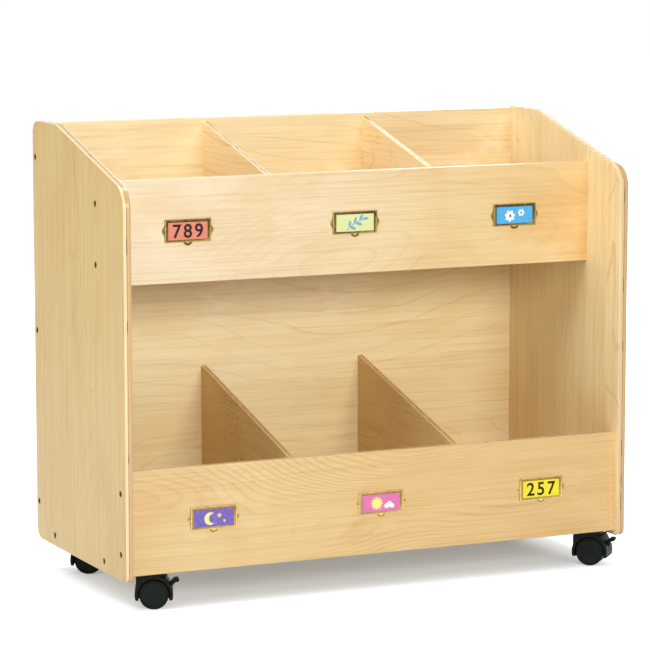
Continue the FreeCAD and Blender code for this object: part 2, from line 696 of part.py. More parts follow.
plate_seats = []
for blank in plates.values():
    centre = blank.Placement.Base
    for x in both_sides(centre.x, size("plate_screw_spacing")):
        for y in both_sides(centre.y, size("plate_screw_spacing")):
            plate_seats.append((Vector(x, y, centre.z), Vector(0, 0, 1)))
plate_screw, plate_hole = screw_shapes("caster_screw", size("caster_screw_length"), 0)
keep("caster_screws", group("caster_screws", plate_screw, plate_seats))
plate_holes = group("caster_screw_holes", plate_hole, plate_seats)
for label, blank in plates.items():
    drilled(label, blank, plate_holes)

# ------------------------------------------------------------------ the boards, drilled
drilled("left_side_panel", left_side, side_holes["left"])
drilled("right_side_panel", right_side, side_holes["right"])
drilled("back_panel", back, back_holes, *side_holes.values())
drilled("bottom_panel", bottom, back_holes, plate_holes, *side_holes.values())
drilled("upper_shelf", shelf, back_holes)
drilled("upper_front_panel", upper_front, pin_holes, *side_holes.values())
drilled("lower_front_panel", lower_front, pin_holes, *side_holes.values())
for label, board in dividers.items():
    drilled(label, board, back_holes)
doc.recompute()

# ------------------------------------------------------------------ check and write the pieces
for item in doc.Objects:
    if "Invalid" in item.State or "Error" in item.State:
        raise RuntimeError(f"{item.Label} did not compute: {item.State}")
for label, item in nodes.items():
    if item.Shape.isNull() or not item.Shape.isValid() or not item.Shape.Solids:
        raise RuntimeError(f"{label} is not a valid solid")
os.makedirs("parts", exist_ok=True)
for label, item in sorted(nodes.items()):
    item.Shape.exportStep(f"parts/{label}.step")
print(f"{len(nodes)} pieces written")
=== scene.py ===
# %% [markdown]
# # A picture book browser bin, dressed for the studio
# The bin is birch plywood on four twin-wheel casters: two sloped sides, an upper and a lower
# row of open bins, and a brass label holder in front of each bin. Its shape comes from the
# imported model, so this lesson adds what a drawing leaves out: the veneer, the plies along the
# edges, the screws with their drives, the stamped holders, the printed cards and the light.

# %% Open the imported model
import json
import math
import bmesh
import bpy
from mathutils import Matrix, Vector


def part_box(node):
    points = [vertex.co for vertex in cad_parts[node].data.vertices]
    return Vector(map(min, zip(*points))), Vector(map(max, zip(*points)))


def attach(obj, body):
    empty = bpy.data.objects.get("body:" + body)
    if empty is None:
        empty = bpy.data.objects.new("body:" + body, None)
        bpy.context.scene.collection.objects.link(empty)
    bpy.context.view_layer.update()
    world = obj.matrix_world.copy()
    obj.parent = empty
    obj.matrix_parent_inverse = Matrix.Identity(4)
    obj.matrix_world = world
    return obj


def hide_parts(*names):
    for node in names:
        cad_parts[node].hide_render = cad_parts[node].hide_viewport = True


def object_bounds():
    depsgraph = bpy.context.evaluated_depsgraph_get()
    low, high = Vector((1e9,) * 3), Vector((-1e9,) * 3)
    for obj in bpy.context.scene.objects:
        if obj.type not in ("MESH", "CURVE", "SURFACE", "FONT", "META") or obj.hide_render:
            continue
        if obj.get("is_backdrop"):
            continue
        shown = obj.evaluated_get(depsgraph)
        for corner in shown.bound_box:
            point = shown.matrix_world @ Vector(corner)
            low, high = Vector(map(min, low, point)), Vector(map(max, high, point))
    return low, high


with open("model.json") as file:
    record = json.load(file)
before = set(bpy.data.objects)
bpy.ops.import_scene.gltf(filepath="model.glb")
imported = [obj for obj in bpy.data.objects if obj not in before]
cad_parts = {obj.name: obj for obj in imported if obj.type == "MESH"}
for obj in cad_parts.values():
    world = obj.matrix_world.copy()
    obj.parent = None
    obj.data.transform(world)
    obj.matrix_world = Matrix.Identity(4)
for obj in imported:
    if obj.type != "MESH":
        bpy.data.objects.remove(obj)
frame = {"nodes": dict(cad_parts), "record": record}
packed_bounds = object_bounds()
nodes = frame["nodes"]
scene = bpy.context.scene

# %% [markdown]
# ## The camera
# The bin is seen from the front left, a little above its top. A long lens from five metres away
# keeps the uprights nearly parallel. The angles are a compass bearing, a tilt and a lean.

# %% Place the camera
BEARING, TILT, LEAN = 24.922, -7.808, -0.013
CAMERA_PLACE = (-2.3049, -4.9363, 1.1703)
SENSOR_WIDTH, FOCAL_LENGTH = 36, 177.42  # millimetres
FAR_LIMIT = 80
lens = bpy.data.cameras.new("studio_camera")
lens.sensor_width = SENSOR_WIDTH
lens.lens = FOCAL_LENGTH
lens.clip_end = FAR_LIMIT
camera = bpy.data.objects.new("studio_camera", lens)
scene.collection.objects.link(camera)
camera.location = CAMERA_PLACE
camera.rotation_euler = [math.radians(x) for x in (90 + TILT, -LEAN, -BEARING)]
scene.camera = camera
print("camera", [round(x, 2) for x in camera.location])

# %% [markdown]
# ## Helpers for node trees
# Materials and Geometry Nodes are both trees of nodes. One helper adds a node, sets its options
# and fills its sockets: another node's output is linked, and anything else is written in.

# %% Node helpers
def add_node(tree, kind, sockets=None, **options):
    made = tree.nodes.new(kind)
    for name, value in options.items():
        setattr(made, name, value)
    for key, value in (sockets or {}).items():
        if isinstance(value, bpy.types.NodeSocket):
            tree.links.new(value, made.inputs[key])
        else:
            made.inputs[key].default_value = value
    return made


def maths(tree, operation, *terms):
    return add_node(tree, "ShaderNodeMath", dict(enumerate(terms)), operation=operation).outputs[0]


def ease(tree, value, low, high, start=0.0, end=1.0):
    """A smooth step: start below low, end above high."""
    return add_node(tree, "ShaderNodeMapRange", {0: value, 1: low, 2: high, 3: start, 4: end},
                    interpolation_type="SMOOTHSTEP").outputs[0]


def mix_colour(tree, share, first, second, blend="MIX"):
    return add_node(tree, "ShaderNodeMix", {0: share, 6: first, 7: second}, data_type="RGBA",
                    blend_type=blend, clamp_factor=True).outputs[2]


def noise(tree, vector, detail=2.0, roughness=0.5, distortion=0.0):
    return add_node(tree, "ShaderNodeTexNoise", {
        "Vector": vector, "Scale": 1.0, "Detail": detail, "Roughness": roughness,
        "Distortion": distortion}).outputs[0]


def stretched(tree, scale, shift=(0, 0, 0)):
    """Object coordinates, in metres, with a scale for each axis."""
    place = add_node(tree, "ShaderNodeTexCoord").outputs["Object"]
    return add_node(tree, "ShaderNodeMapping",
                    {"Vector": place, "Scale": scale, "Location": shift}).outputs[0]


def new_material(name):
    """An empty material: its tree, its Principled shader and itself."""
    made = bpy.data.materials.new(name)
    made.use_nodes = True
    return made, made.node_tree, made.node_tree.nodes["Principled BSDF"]


def colour(red, green, blue):
    """A colour from 0 to 255 as it looks on a screen, as the shader's linear numbers."""
    def linear(part):
        part = part / 255
        return part / 12.92 if part <= 0.04045 else ((part + 0.055) / 1.055) ** 2.4
    return (linear(red), linear(green), linear(blue), 1.0)


def dress(node, material):
    """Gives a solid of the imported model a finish."""
    mesh = nodes[node].data
    mesh.materials.clear()
    mesh.materials.append(material)

# %% [markdown]
# ## Floor, backdrop and light
# A studio floor and the air behind it are plain white. The floor still has to show the soft
# shadow under the bin, so it is a matt surface with whiteness added for the camera. Under the bin
# the added part is small, which paints a shadow over the bin's outline, and beside it the floor is
# plain white. The lamps stay at a level that leaves the wood its own colour.

# %% Floor
WHITE = (1, 1, 1, 1)
FLOOR_TONE = (0.72, 0.77, 0.82, 1)
FLOOR_REACH = 14  # from the middle to each edge
# Less added white over the bin's outline is a painted shadow under the bin.
PAINTED_SHADOW_FADE = (-0.1, 0.08)  # how far outside the bin's outline the added white starts and is full
ADDED_WHITE = (0.24, 1.0)  # its strength under the bin and beside it
floor_paint, tree, paint = new_material("floor_paint")
tree.nodes.remove(paint)
path = add_node(tree, "ShaderNodeLightPath")
seen = maths(tree, "MAXIMUM", path.outputs["Is Camera Ray"], path.outputs["Is Glossy Ray"])
seen = maths(tree, "MAXIMUM", seen, path.outputs["Is Transmission Ray"])
matt = add_node(tree, "ShaderNodeBsdfDiffuse", {"Color": FLOOR_TONE})
place = add_node(tree, "ShaderNodeTexCoord").outputs["Object"]
spot = add_node(tree, "ShaderNodeSeparateXYZ", {0: place}).outputs
half_width, half_depth = packed_bounds[1][0], packed_bounds[1][1]
beside = [maths(tree, "SUBTRACT", maths(tree, "ABSOLUTE", part), half)
          for part, half in zip(spot, (half_width, half_depth))]
outside = maths(tree, "MAXIMUM", *beside)
white = add_node(tree, "ShaderNodeEmission", {
    "Color": WHITE,
    "Strength": maths(tree, "MULTIPLY", seen, ease(tree, outside, *PAINTED_SHADOW_FADE, *ADDED_WHITE))})
both = add_node(tree, "ShaderNodeAddShader", {0: matt.outputs[0], 1: white.outputs[0]})
tree.links.new(both.outputs[0], tree.nodes["Material Output"].inputs["Surface"])
floor_mesh = bpy.data.meshes.new("floor")
floor_mesh.from_pydata([(x * FLOOR_REACH, y * FLOOR_REACH, 0) for x, y in
                        ((-1, -1), (1, -1), (1, 1), (-1, 1))], [], [(0, 1, 2, 3)])
floor_mesh.materials.append(floor_paint)
floor = bpy.data.objects.new("floor", floor_mesh)
scene.collection.objects.link(floor)
floor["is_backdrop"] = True
print("floor", 2 * FLOOR_REACH, "m square")

# %% World and lamps
AIR_LIGHT = 0.06  # what the air itself gives the bin
GLOSSY_WHITE = 0.9  # how white it is in reflections
world = bpy.data.worlds.new("studio_air")
scene.world = world
world.use_nodes = True
air = world.node_tree
path = add_node(air, "ShaderNodeLightPath")
seen = maths(air, "MAXIMUM", path.outputs["Is Camera Ray"], path.outputs["Is Transmission Ray"])
seen = maths(air, "MAXIMUM", seen, maths(
    air, "MULTIPLY", path.outputs["Is Glossy Ray"], GLOSSY_WHITE))
soft = air.nodes["Background"]
soft.inputs["Color"].default_value = WHITE
soft.inputs["Strength"].default_value = AIR_LIGHT
plain = add_node(air, "ShaderNodeBackground", {"Color": WHITE, "Strength": 1.0})
choice = add_node(air, "ShaderNodeMixShader", {0: seen, 1: soft.outputs[0], 2: plain.outputs[0]})
air.links.new(choice.outputs[0], air.nodes["World Output"].inputs["Surface"])
scene.view_settings.view_transform = "Standard"


def softbox(name, place, aim_height, width, height, watts):
    """A rectangular lamp that looks at a point above the middle of the floor."""
    lamp = bpy.data.lights.new(name, "AREA")
    lamp.shape, lamp.size, lamp.size_y = "RECTANGLE", width, height
    lamp.energy = watts
    made = bpy.data.objects.new(name, lamp)
    scene.collection.objects.link(made)
    made.location = place
    made.rotation_euler = (Vector((0, 0, aim_height)) - Vector(place)).to_track_quat(
        "-Z", "Y").to_euler()
    print(name, watts, "W")


SOFTBOXES = {  # place, height aimed at, width, height and watts
    "front_softbox": ((0.2, -5.0, 1.9), 0.4, 2.4, 1.4, 144),
    "corner_softbox": ((-1.6, -4.6, 2.2), 0.4, 1.6, 1.4, 38),
    "high_softbox": ((-2.2, -1.2, 3.3), 0.45, 1.6, 1.6, 34),
    "left_softbox": ((-3.8, -0.3, 1.6), 0.4, 1.6, 1.6, 66),
    "top_softbox": ((0.2, 0.5, 3.4), 0.6, 1.8, 1.2, 42),
    "rear_softbox": ((2.6, 3.4, 2.0), 0.4, 1.8, 1.4, 70),
}
for name, sizes in SOFTBOXES.items():
    softbox(name, *sizes)

# %% [markdown]
# ## Birch plywood
# Rotary-cut birch veneer is pale honey with faint flame-shaped rings, fine fibres and short
# pores. Where a board is cut, its plies show as faint stripes between three darker glue lines,
# with small gaps along the middle one. All of this is one solid pattern: the rings are the
# contour lines of a noise drawn out along the grain, and the plies follow the depth below the
# board's face. The same recipe then suits every board and its rounded edges, and only the axes
# differ. Each noise is fine or coarse by three numbers, for along the grain, across it and
# through the board, and the larger the number, the finer the noise.

# %% The plywood recipe
RING = (0.66, 0.46, 0.28, 1)  # what is left of the board's own colour
FIBRE = (0.72, 0.56, 0.4, 1)
CLOUD = (0.9, 0.76, 0.56, 1)
# The near-white below is a painted sheen on patches of curly figure.
PAINTED_SHEEN = colour(255, 244, 214)
FLECK = colour(96, 62, 32)
GLUE = colour(146, 98, 48)
GRAIN = {
    "slope": (0, 1, 0),
    "figure": (1.2, 4.2, 3.0),
    "wander": (7.0, 30.0, 3.0),
    "strength": (2.6, 11.0, 3.0),
    "clouds": (4.5, 7.0, 2.0),
    "fibres": (5.0, 280.0, 90.0),
    "bands": (1.6, 60.0, 20.0),
    "curl": (26.0, 62.0, 8.0),
    "curl patches": (6.0, 7.0, 2.0),
    "flecked patches": (9.0, 9.0, 2.0),
    "flecks": (95.0, 330.0, 60.0),
    "wobble": (6.0, 6.0, 2.0),
    "gaps": (24.0, 24.0, 60.0),
}
GLUE_LINES = ((0.11, 0.04, 0.6), (0.49, 0.055, 0.8), (0.9, 0.035, 0.4))
MIDDLE_LINE = GLUE_LINES[1][0]


def by_axis(order, along, across, through):
    """Numbers for x, y and z, from numbers along the grain, across it and through the board."""
    numbers = dict(zip(order, (along, across, through)))
    return tuple(numbers[axis] for axis in "xyz")


def veneer(tree, drawn, tone, pitch=33.0, rings=0.4, broad=0.16, swirl=0.45, streaks=0.12,
           mottle=0.36, flame=0.05, flecks=0.0):
    """The face of a board: its colour, and the height of its fibres.

    pitch is how many rings there are to the metre, broad is each ring's dark share and swirl is
    how far the rings bend. The other numbers are how strong each mark is: the rings, the streaks,
    the mottle, the painted sheen on patches of curly figure, and the flecks.
    """
    heights = add_node(tree, "ShaderNodeSeparateXYZ", {0: drawn("slope")}).outputs
    slope = maths(tree, "ADD", maths(tree, "ADD", heights[0], heights[1]), heights[2])
    figure = maths(tree, "MULTIPLY", noise(tree, drawn("figure"), 1.5, 0.45, 0.1), swirl)
    wander = maths(tree, "MULTIPLY", noise(tree, drawn("wander"), 2.0), 0.014)
    figure = maths(tree, "ADD", maths(tree, "ADD", figure, slope), wander)
    turn = maths(tree, "FRACT", maths(tree, "MULTIPLY", figure, pitch))
    line = maths(tree, "SUBTRACT", ease(tree, turn, 1 - broad, 0.96), ease(tree, turn, 0.96, 1.0))
    strength = ease(tree, noise(tree, drawn("strength"), 2.0), 0.36, 0.66, 0.06, rings)
    clouds = noise(tree, drawn("clouds"), 2.0, 0.55, 0.6)
    fibres = noise(tree, drawn("fibres"), 3.0, 0.65)
    bands = noise(tree, drawn("bands"), 2.0)
    curl = noise(tree, drawn("curl"), 2.0, 0.45, 0.3)
    sheen_patch = ease(tree, noise(tree, drawn("curl patches"), 1.0), 0.5, 0.72, 0.0, flame)
    face = mix_colour(tree, ease(tree, clouds, 0.4, 0.7, 0.0, mottle), tone, CLOUD, "MULTIPLY")
    face = mix_colour(tree, maths(tree, "MULTIPLY", line, strength), face, RING, "MULTIPLY")
    face = mix_colour(tree, ease(tree, bands, 0.42, 0.72, 0.0, streaks), face, FIBRE, "MULTIPLY")
    face = mix_colour(tree, ease(tree, fibres, 0.42, 0.78, 0.0, 0.4), face, FIBRE, "MULTIPLY")
    # The curl is the wood's own figure. Lightening its patches towards near-white paints a sheen on
    # them.
    curl = maths(tree, "MULTIPLY", sheen_patch, ease(tree, curl, 0.4, 0.72))
    face = mix_colour(tree, curl, face, PAINTED_SHEEN)
    if flecks:
        near = ease(tree, noise(tree, drawn("flecked patches"), 1.0), 0.52, 0.66)
        marks = ease(tree, noise(tree, drawn("flecks"), 1.0), 0.66, 0.74, 0.0, flecks)
        face = mix_colour(tree, maths(tree, "MULTIPLY", near, marks), face, FLECK)
    return face, fibres


def birch(board, order, seed, tone, far_tone=None, reverse=None, plies=11,
          cut=((244, 218, 168), (230, 196, 140)), **figure):
    """Plywood for one board. order names the axes along the grain, across it and through.

    far_tone is the face's colour at its far end, and reverse the colour of the board's other
    face. cut gives the colours of the sawn edge on the two sides of its middle glue line, and the
    difference between them is painted light and shade of the rounded edge. A glue line has a place
    and a half width, as shares of the thickness, and a strength.
    """
    low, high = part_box(board)
    axis = "xyz".index(order[2])
    thickness = high[axis] - low[axis]
    made, tree, shader = new_material(f"birch_{board}")
    shift = (seed * 1.7, seed * 2.9, seed * 0.7)

    def drawn(name):
        return stretched(tree, by_axis(order, *GRAIN[name]), shift)

    place = add_node(tree, "ShaderNodeTexCoord").outputs["Object"]
    spot = add_node(tree, "ShaderNodeSeparateXYZ", {0: place}).outputs
    along = "xyz".index(order[0])
    drift = ease(tree, spot[along], low[along], high[along])
    shade = mix_colour(tree, drift, colour(*tone), colour(*(far_tone or tone)))
    depth = maths(tree, "SUBTRACT", spot[axis], low[axis])
    if reverse:
        near = maths(tree, "LESS_THAN", depth, thickness / 2)
        shade = mix_colour(tree, near, colour(*reverse), shade)
        figure["flame"] = maths(tree, "MULTIPLY", near, figure.get("flame", 0.0))
    face, fibres = veneer(tree, drawn, shade, **figure)
    layer = maths(tree, "MULTIPLY", depth, plies / thickness)
    wobble = maths(tree, "MULTIPLY", noise(tree, drawn("wobble"), 1.0), 0.05)
    share = maths(tree, "ADD", maths(tree, "MULTIPLY", depth, 1 / thickness), wobble)
    # The cut is lighter on its low side and darker on its high side: painted light and shade of the
    # rounded edge.
    edge = mix_colour(tree, ease(tree, share, 0.46, 0.54), colour(*cut[0]), colour(*cut[1]))
    stripe = maths(tree, "PINGPONG", maths(tree, "ADD", layer, 0.3), 1.0)
    edge = mix_colour(tree, ease(tree, stripe, 0.55, 0.7, 0.0, 0.18), edge, GLUE)
    for middle, half, strength in GLUE_LINES:
        away = maths(tree, "ABSOLUTE", maths(tree, "SUBTRACT", share, middle))
        edge = mix_colour(tree, ease(tree, away, 0.4 * half, half, strength, 0.0), edge, GLUE)
    gaps = ease(tree, noise(tree, drawn("gaps"), 0.0), 0.58, 0.63)
    away = maths(tree, "ABSOLUTE", maths(tree, "SUBTRACT", share, MIDDLE_LINE))
    gaps = maths(tree, "MULTIPLY", gaps, ease(tree, away, 0.05, 0.08, 0.75, 0.0))
    edge = mix_colour(tree, gaps, edge, FLECK)
    skin = maths(tree, "MINIMUM", layer, maths(tree, "SUBTRACT", float(plies), layer))
    core = ease(tree, skin, 0.7, 0.95)
    tree.links.new(mix_colour(tree, core, face, edge), shader.inputs["Base Color"])
    tree.links.new(maths(tree, "SUBTRACT", ease(tree, fibres, 0.3, 0.8, 0.36, 0.5),
                         maths(tree, "MULTIPLY", core, 0.16)), shader.inputs["Roughness"])
    tree.links.new(ease(tree, skin, 0.7, 0.95, 0.1, 0.4), shader.inputs["Coat Weight"])
    bump = add_node(tree, "ShaderNodeBump", {"Strength": 0.1, "Distance": 0.0003, "Height": fibres})
    tree.links.new(bump.outputs[0], shader.inputs["Normal"])
    shader.inputs["Coat Roughness"].default_value = 0.2
    shader.inputs["Specular IOR Level"].default_value = 0.35
    return made

# %% [markdown]
# The boards come from different sheets, so each has a seed, a tone and a figure of its own. The
# grain runs upright on the sides and along the panels. Edges that the top lamp strikes squarely
# get a deeper cut, a painted shade which keeps them from burning out. The top edges of the back
# and of the upper front get a near-white cut, a painted highlight. The left side's outer face and
# the lower dividers get darker tones, which are painted shade.

# %% Veneer every board
CREAM, SHADED = (240, 213, 162), (226, 196, 138)
SIDE_CUT = ((242, 218, 170), (214, 174, 118))
# The near-white cut below is a painted highlight on the top edges of the back and the upper front.
HIGHLIGHT_CUT = ((255, 243, 212), (250, 232, 194))
DEEP_CUT = ((222, 192, 142), (206, 169, 117))
TOP_DIVIDER = dict(order="yzx", tone=(248, 222, 171), plies=5, flecks=0.5,
                   cut=((226, 196, 144), (208, 170, 116)))
# The lower dividers get a darker tone than the upper ones: painted shade.
LOW_DIVIDER = dict(order="yzx", tone=SHADED, pitch=60, rings=0.5, swirl=0.8, plies=5, flecks=0.9,
                   cut=((224, 188, 136), (206, 168, 114)))
BOARDS = {
    # The left side's outer face is darker than its inner face: painted shade.
    "left_side_panel": dict(order="zyx", seed=3.1, tone=(208, 176, 108), reverse=CREAM, pitch=40,
                            rings=0.24, broad=0.22, swirl=0.7, cut=SIDE_CUT),
    "right_side_panel": dict(order="zyx", seed=7.4, tone=(250, 229, 180), reverse=(224, 195, 138),
                             pitch=62, rings=0.45, streaks=0.2, cut=DEEP_CUT),
    "back_panel": dict(order="xzy", seed=1.2, tone=(249, 231, 185), far_tone=(244, 222, 173),
                       reverse=(232, 203, 148), rings=0.26, streaks=0.18, flame=0.5, cut=HIGHLIGHT_CUT),
    "upper_front_panel": dict(order="xzy", seed=5.6, tone=(241, 222, 189), far_tone=(229, 196, 137),
                              pitch=32, rings=0.15, broad=0.3, swirl=1.3, streaks=0.08,
                              mottle=0.6, flame=0.15, cut=HIGHLIGHT_CUT),
    "lower_front_panel": dict(order="xzy", seed=9.3, tone=(228, 197, 142), far_tone=(223, 187, 127),
                              pitch=150, rings=0.36, broad=0.5, swirl=0.4, streaks=0.16, flame=0.1),
    "upper_shelf": dict(order="xyz", seed=4.4, tone=CREAM),
    "bottom_panel": dict(order="xyz", seed=6.1, tone=CREAM),
    "upper_divider_left": dict(TOP_DIVIDER, seed=2.3),
    "upper_divider_right": dict(TOP_DIVIDER, seed=8.8),
    "lower_divider_left": dict(LOW_DIVIDER, seed=11.5),
    "lower_divider_right": dict(LOW_DIVIDER, seed=13.7),
}
for board, recipe in BOARDS.items():
    dress(board, birch(board, **recipe))
print(len(BOARDS), "boards veneered")

# %% [markdown]
# ## Moulded plastic and steel
# The casters are black glass-filled nylon with the fine matt grain of the mould, and a zinc
# plated plate, pin and axle. Grain is a small bump, and plating is a metal with a slight brush.

# %% Caster finishes
MOULD_GRAIN, SCUFFS = 1800, 60  # how fine each is
METAL_GREASE = colour(120, 112, 96)


def nylon(name, shade, low, high):
    """Black plastic, scuffed a little lighter, between two roughnesses."""
    made, tree, shader = new_material(name)
    grain = noise(tree, stretched(tree, (MOULD_GRAIN,) * 3), 2.0)
    scuffs = noise(tree, stretched(tree, (SCUFFS,) * 3), 3.0, 0.6)
    tone = mix_colour(tree, ease(tree, scuffs, 0.45, 0.75, 0, 0.5), shade,
                      tuple(2.0 * part for part in shade[:3]) + (1,))
    tree.links.new(tone, shader.inputs["Base Color"])
    tree.links.new(ease(tree, scuffs, 0.3, 0.7, low, high), shader.inputs["Roughness"])
    shader.inputs["Specular IOR Level"].default_value = 0.12
    bump = add_node(tree, "ShaderNodeBump", {"Strength": 0.25, "Distance": 0.0002, "Height": grain})
    tree.links.new(bump.outputs[0], shader.inputs["Normal"])
    return made


def plated(name, shade, low, high):
    """Metal brushed upright, with a greasy tint, between two roughnesses."""
    made, tree, shader = new_material(name)
    brush = noise(tree, stretched(tree, (900, 900, 120)), 3.0)
    tree.links.new(mix_colour(tree, ease(tree, brush, 0.3, 0.7, 0, 0.35), shade,
                              METAL_GREASE), shader.inputs["Base Color"])
    tree.links.new(ease(tree, brush, 0.3, 0.7, low, high), shader.inputs["Roughness"])
    shader.inputs["Metallic"].default_value = 1.0
    return made


wheel_nylon = nylon("wheel_nylon", colour(16, 22, 17), 0.5, 0.62)
hood_nylon = nylon("hood_nylon", colour(6, 7, 5), 0.42, 0.55)
caster_steel = plated("caster_steel", colour(190, 190, 188), 0.25, 0.4)
screw_zinc = plated("screw_zinc", colour(176, 172, 158), 0.28, 0.42)
# The board screws' dark finish is partly painted shade of their sunk seats.
screw_black = plated("screw_black", colour(70, 62, 50), 0.4, 0.55)
FINISHES = {"_wheel": wheel_nylon, "_hood": hood_nylon, "_brake_lever": hood_nylon,
            "_mount_plate": caster_steel, "_kingpin": caster_steel, "_axle": caster_steel}
for node in nodes:
    for ending, finish in FINISHES.items():
        if node.endswith(ending):
            dress(node, finish)
print("casters dressed")

# %% [markdown]
# ## Where the fasteners sit
# Screws and pins repeat, so Geometry Nodes set them: one shape, one point for each seat. The
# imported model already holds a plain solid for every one, so the seats are read from there. Points
# that touch are merged on a copy, and each loose island's box gives one seat and its length.

# %% Read the seats
def islands(node):
    """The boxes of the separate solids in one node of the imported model."""
    shape = bmesh.new()
    shape.from_mesh(nodes[node].data)
    bmesh.ops.remove_doubles(shape, verts=shape.verts, dist=1e-5)
    waiting, boxes = set(shape.verts), []
    while waiting:
        front = {waiting.pop()}
        island = set(front)
        while front:
            front = {edge.other_vert(point) for point in front for edge in point.link_edges}
            front -= island
            island |= front
        waiting -= island
        spread = list(zip(*(point.co for point in island)))
        boxes.append((Vector(map(min, spread)), Vector(map(max, spread))))
    shape.free()
    return sorted(boxes, key=lambda box: tuple(round(part, 4) for part in box[0]))


def seats(node, drive):
    """Points on a new object, one at each head, that look along the way the piece is driven."""
    axis = max(range(3), key=lambda number: abs(drive[number]))
    points, length = [], 0
    for low, high in islands(node):
        head = (low + high) / 2
        head[axis] = low[axis] if drive[axis] > 0 else high[axis]
        length = high[axis] - low[axis]
        points.append(head)
    mesh = bpy.data.meshes.new(node)
    mesh.from_pydata(points, [], [])
    aim = mesh.attributes.new("drive", "FLOAT_VECTOR", "POINT")
    aim.data.foreach_set("vector", list(drive) * len(points))
    made = bpy.data.objects.new(node, mesh)
    scene.collection.objects.link(made)
    print(node, len(points), "seats", round(length * 1000, 1), "mm long")
    return made, length

# %% [markdown]
# ## A crosshead screw
# A countersunk head is a short cone. Its drive is two crossed bars cut out of it, and the shank
# and the point are a cylinder and a cone that the wood hides. The node tree has a named input for
# each size, turns every screw about its own axis by a seeded amount, and gives the recess a
# darker finish, which is partly grime and partly painted shade.

# %% The tree that sets a fastener on every seat
def fastener_tree(name, sizes):
    """A tree with an input for each size, and nodes that its maker links to a shape."""
    tree = bpy.data.node_groups.new(name, "GeometryNodeTree")
    tree.interface.new_socket("Seats", in_out="INPUT", socket_type="NodeSocketGeometry")
    for size in sizes:
        tree.interface.new_socket(size, in_out="INPUT", socket_type="NodeSocketFloat")
    tree.interface.new_socket("Seed", in_out="INPUT", socket_type="NodeSocketInt")
    tree.interface.new_socket("Finish", in_out="INPUT", socket_type="NodeSocketMaterial")
    tree.interface.new_socket("Set", in_out="OUTPUT", socket_type="NodeSocketGeometry")
    return tree, add_node(tree, "NodeGroupInput").outputs


def primitive(tree, kind, mesh, sizes, shift=(0, 0, 0), **options):
    made = add_node(tree, kind, sizes, **options).outputs[mesh]
    lift = add_node(tree, "ShaderNodeCombineXYZ", dict(enumerate(shift))).outputs[0]
    return add_node(tree, "GeometryNodeTransform", {
        "Geometry": made, "Translation": lift}).outputs[0]


def joined(tree, *shapes):
    whole = add_node(tree, "GeometryNodeJoinGeometry")
    for shape in shapes:
        tree.links.new(shape, whole.inputs[0])
    return whole.outputs[0]


def place_on_seats(tree, given, shape):
    """Instances on the seats, spun by the seed, then made real mesh."""
    aim = add_node(tree, "GeometryNodeInputNamedAttribute", {"Name": "drive"},
                   data_type="FLOAT_VECTOR").outputs[0]
    turn = add_node(tree, "FunctionNodeAlignRotationToVector", {"Vector": aim}, axis="Z").outputs[0]
    spin = add_node(tree, "FunctionNodeRandomValue", {"Max": math.tau, "Seed": given["Seed"]})
    own = add_node(tree, "ShaderNodeCombineXYZ", {"Z": spin.outputs["Value"]}).outputs[0]
    own = add_node(tree, "FunctionNodeEulerToRotation", {0: own}).outputs[0]
    turn = add_node(tree, "FunctionNodeRotateRotation", {"Rotation": turn, "Rotate By": own},
                    rotation_space="LOCAL").outputs[0]
    copies = add_node(tree, "GeometryNodeInstanceOnPoints", {
        "Points": given["Seats"], "Instance": shape, "Rotation": turn}).outputs[0]
    return add_node(tree, "GeometryNodeRealizeInstances", {"Geometry": copies}).outputs[0]


def finished(tree, shape, finish):
    last = add_node(tree, "GeometryNodeSetMaterial", {"Geometry": shape, "Material": finish})
    tree.links.new(last.outputs[0], add_node(tree, "NodeGroupOutput").inputs[0])


def run_tree(points, tree, finish, sizes, seed):
    """Runs the tree on the seats and leaves a plain mesh in their place."""
    modifier = points.modifiers.new(tree.name, "NODES")
    modifier.node_group = tree
    given = {**sizes, "Seed": seed, "Finish": finish}
    for item in tree.interface.items_tree:
        if item.name in given:
            modifier[item.identifier] = given[item.name]
    bpy.context.view_layer.update()
    mesh = bpy.data.meshes.new_from_object(
        points.evaluated_get(bpy.context.evaluated_depsgraph_get()))
    points.modifiers.clear()
    points.data = mesh
    print(points.name, len(mesh.polygons), "faces")
    return points

# %% Screws of the boards and of the casters
tree, given = fastener_tree("crosshead_screw", ["Head radius", "Head depth", "Shank radius",
                                                "Length", "Recess reach", "Recess width"])
head = primitive(tree, "GeometryNodeMeshCone", "Mesh", {
    "Radius Bottom": given["Head radius"], "Radius Top": given["Shank radius"],
    "Depth": given["Head depth"], "Vertices": 24})
bars = [primitive(tree, "GeometryNodeMeshCube", "Mesh", {
    "Size": add_node(tree, "ShaderNodeCombineXYZ", {
        long: given["Recess reach"], short: given["Recess width"],
        2: given["Head depth"]}).outputs[0]})
    for long, short in ((0, 1), (1, 0))]
# The recess is darker than the head: partly grime, partly painted shade.
dirt_and_shade = plated("recess_grime", colour(52, 46, 36), 0.55, 0.7)
drive = add_node(tree, "GeometryNodeMeshBoolean", {"Mesh 2": bars[0]}, operation="UNION",
                 solver="EXACT")
tree.links.new(bars[1], drive.inputs["Mesh 2"])
drive = add_node(tree, "GeometryNodeSetMaterial", {"Geometry": drive.outputs[0], "Material": dirt_and_shade})
head = add_node(tree, "GeometryNodeSetMaterial", {"Geometry": head, "Material": given["Finish"]})
head = add_node(tree, "GeometryNodeMeshBoolean", {"Mesh 1": head.outputs[0],
                "Mesh 2": drive.outputs[0]}, operation="DIFFERENCE", solver="EXACT").outputs[0]
POINT = 0.004
shaft = maths(tree, "SUBTRACT", given["Length"], given["Head depth"])
shaft = maths(tree, "SUBTRACT", shaft, POINT)
shank = primitive(tree, "GeometryNodeMeshCone", "Mesh", {
    "Radius Bottom": given["Shank radius"], "Radius Top": given["Shank radius"],
    "Depth": shaft, "Vertices": 12}, (0, 0, given["Head depth"]))
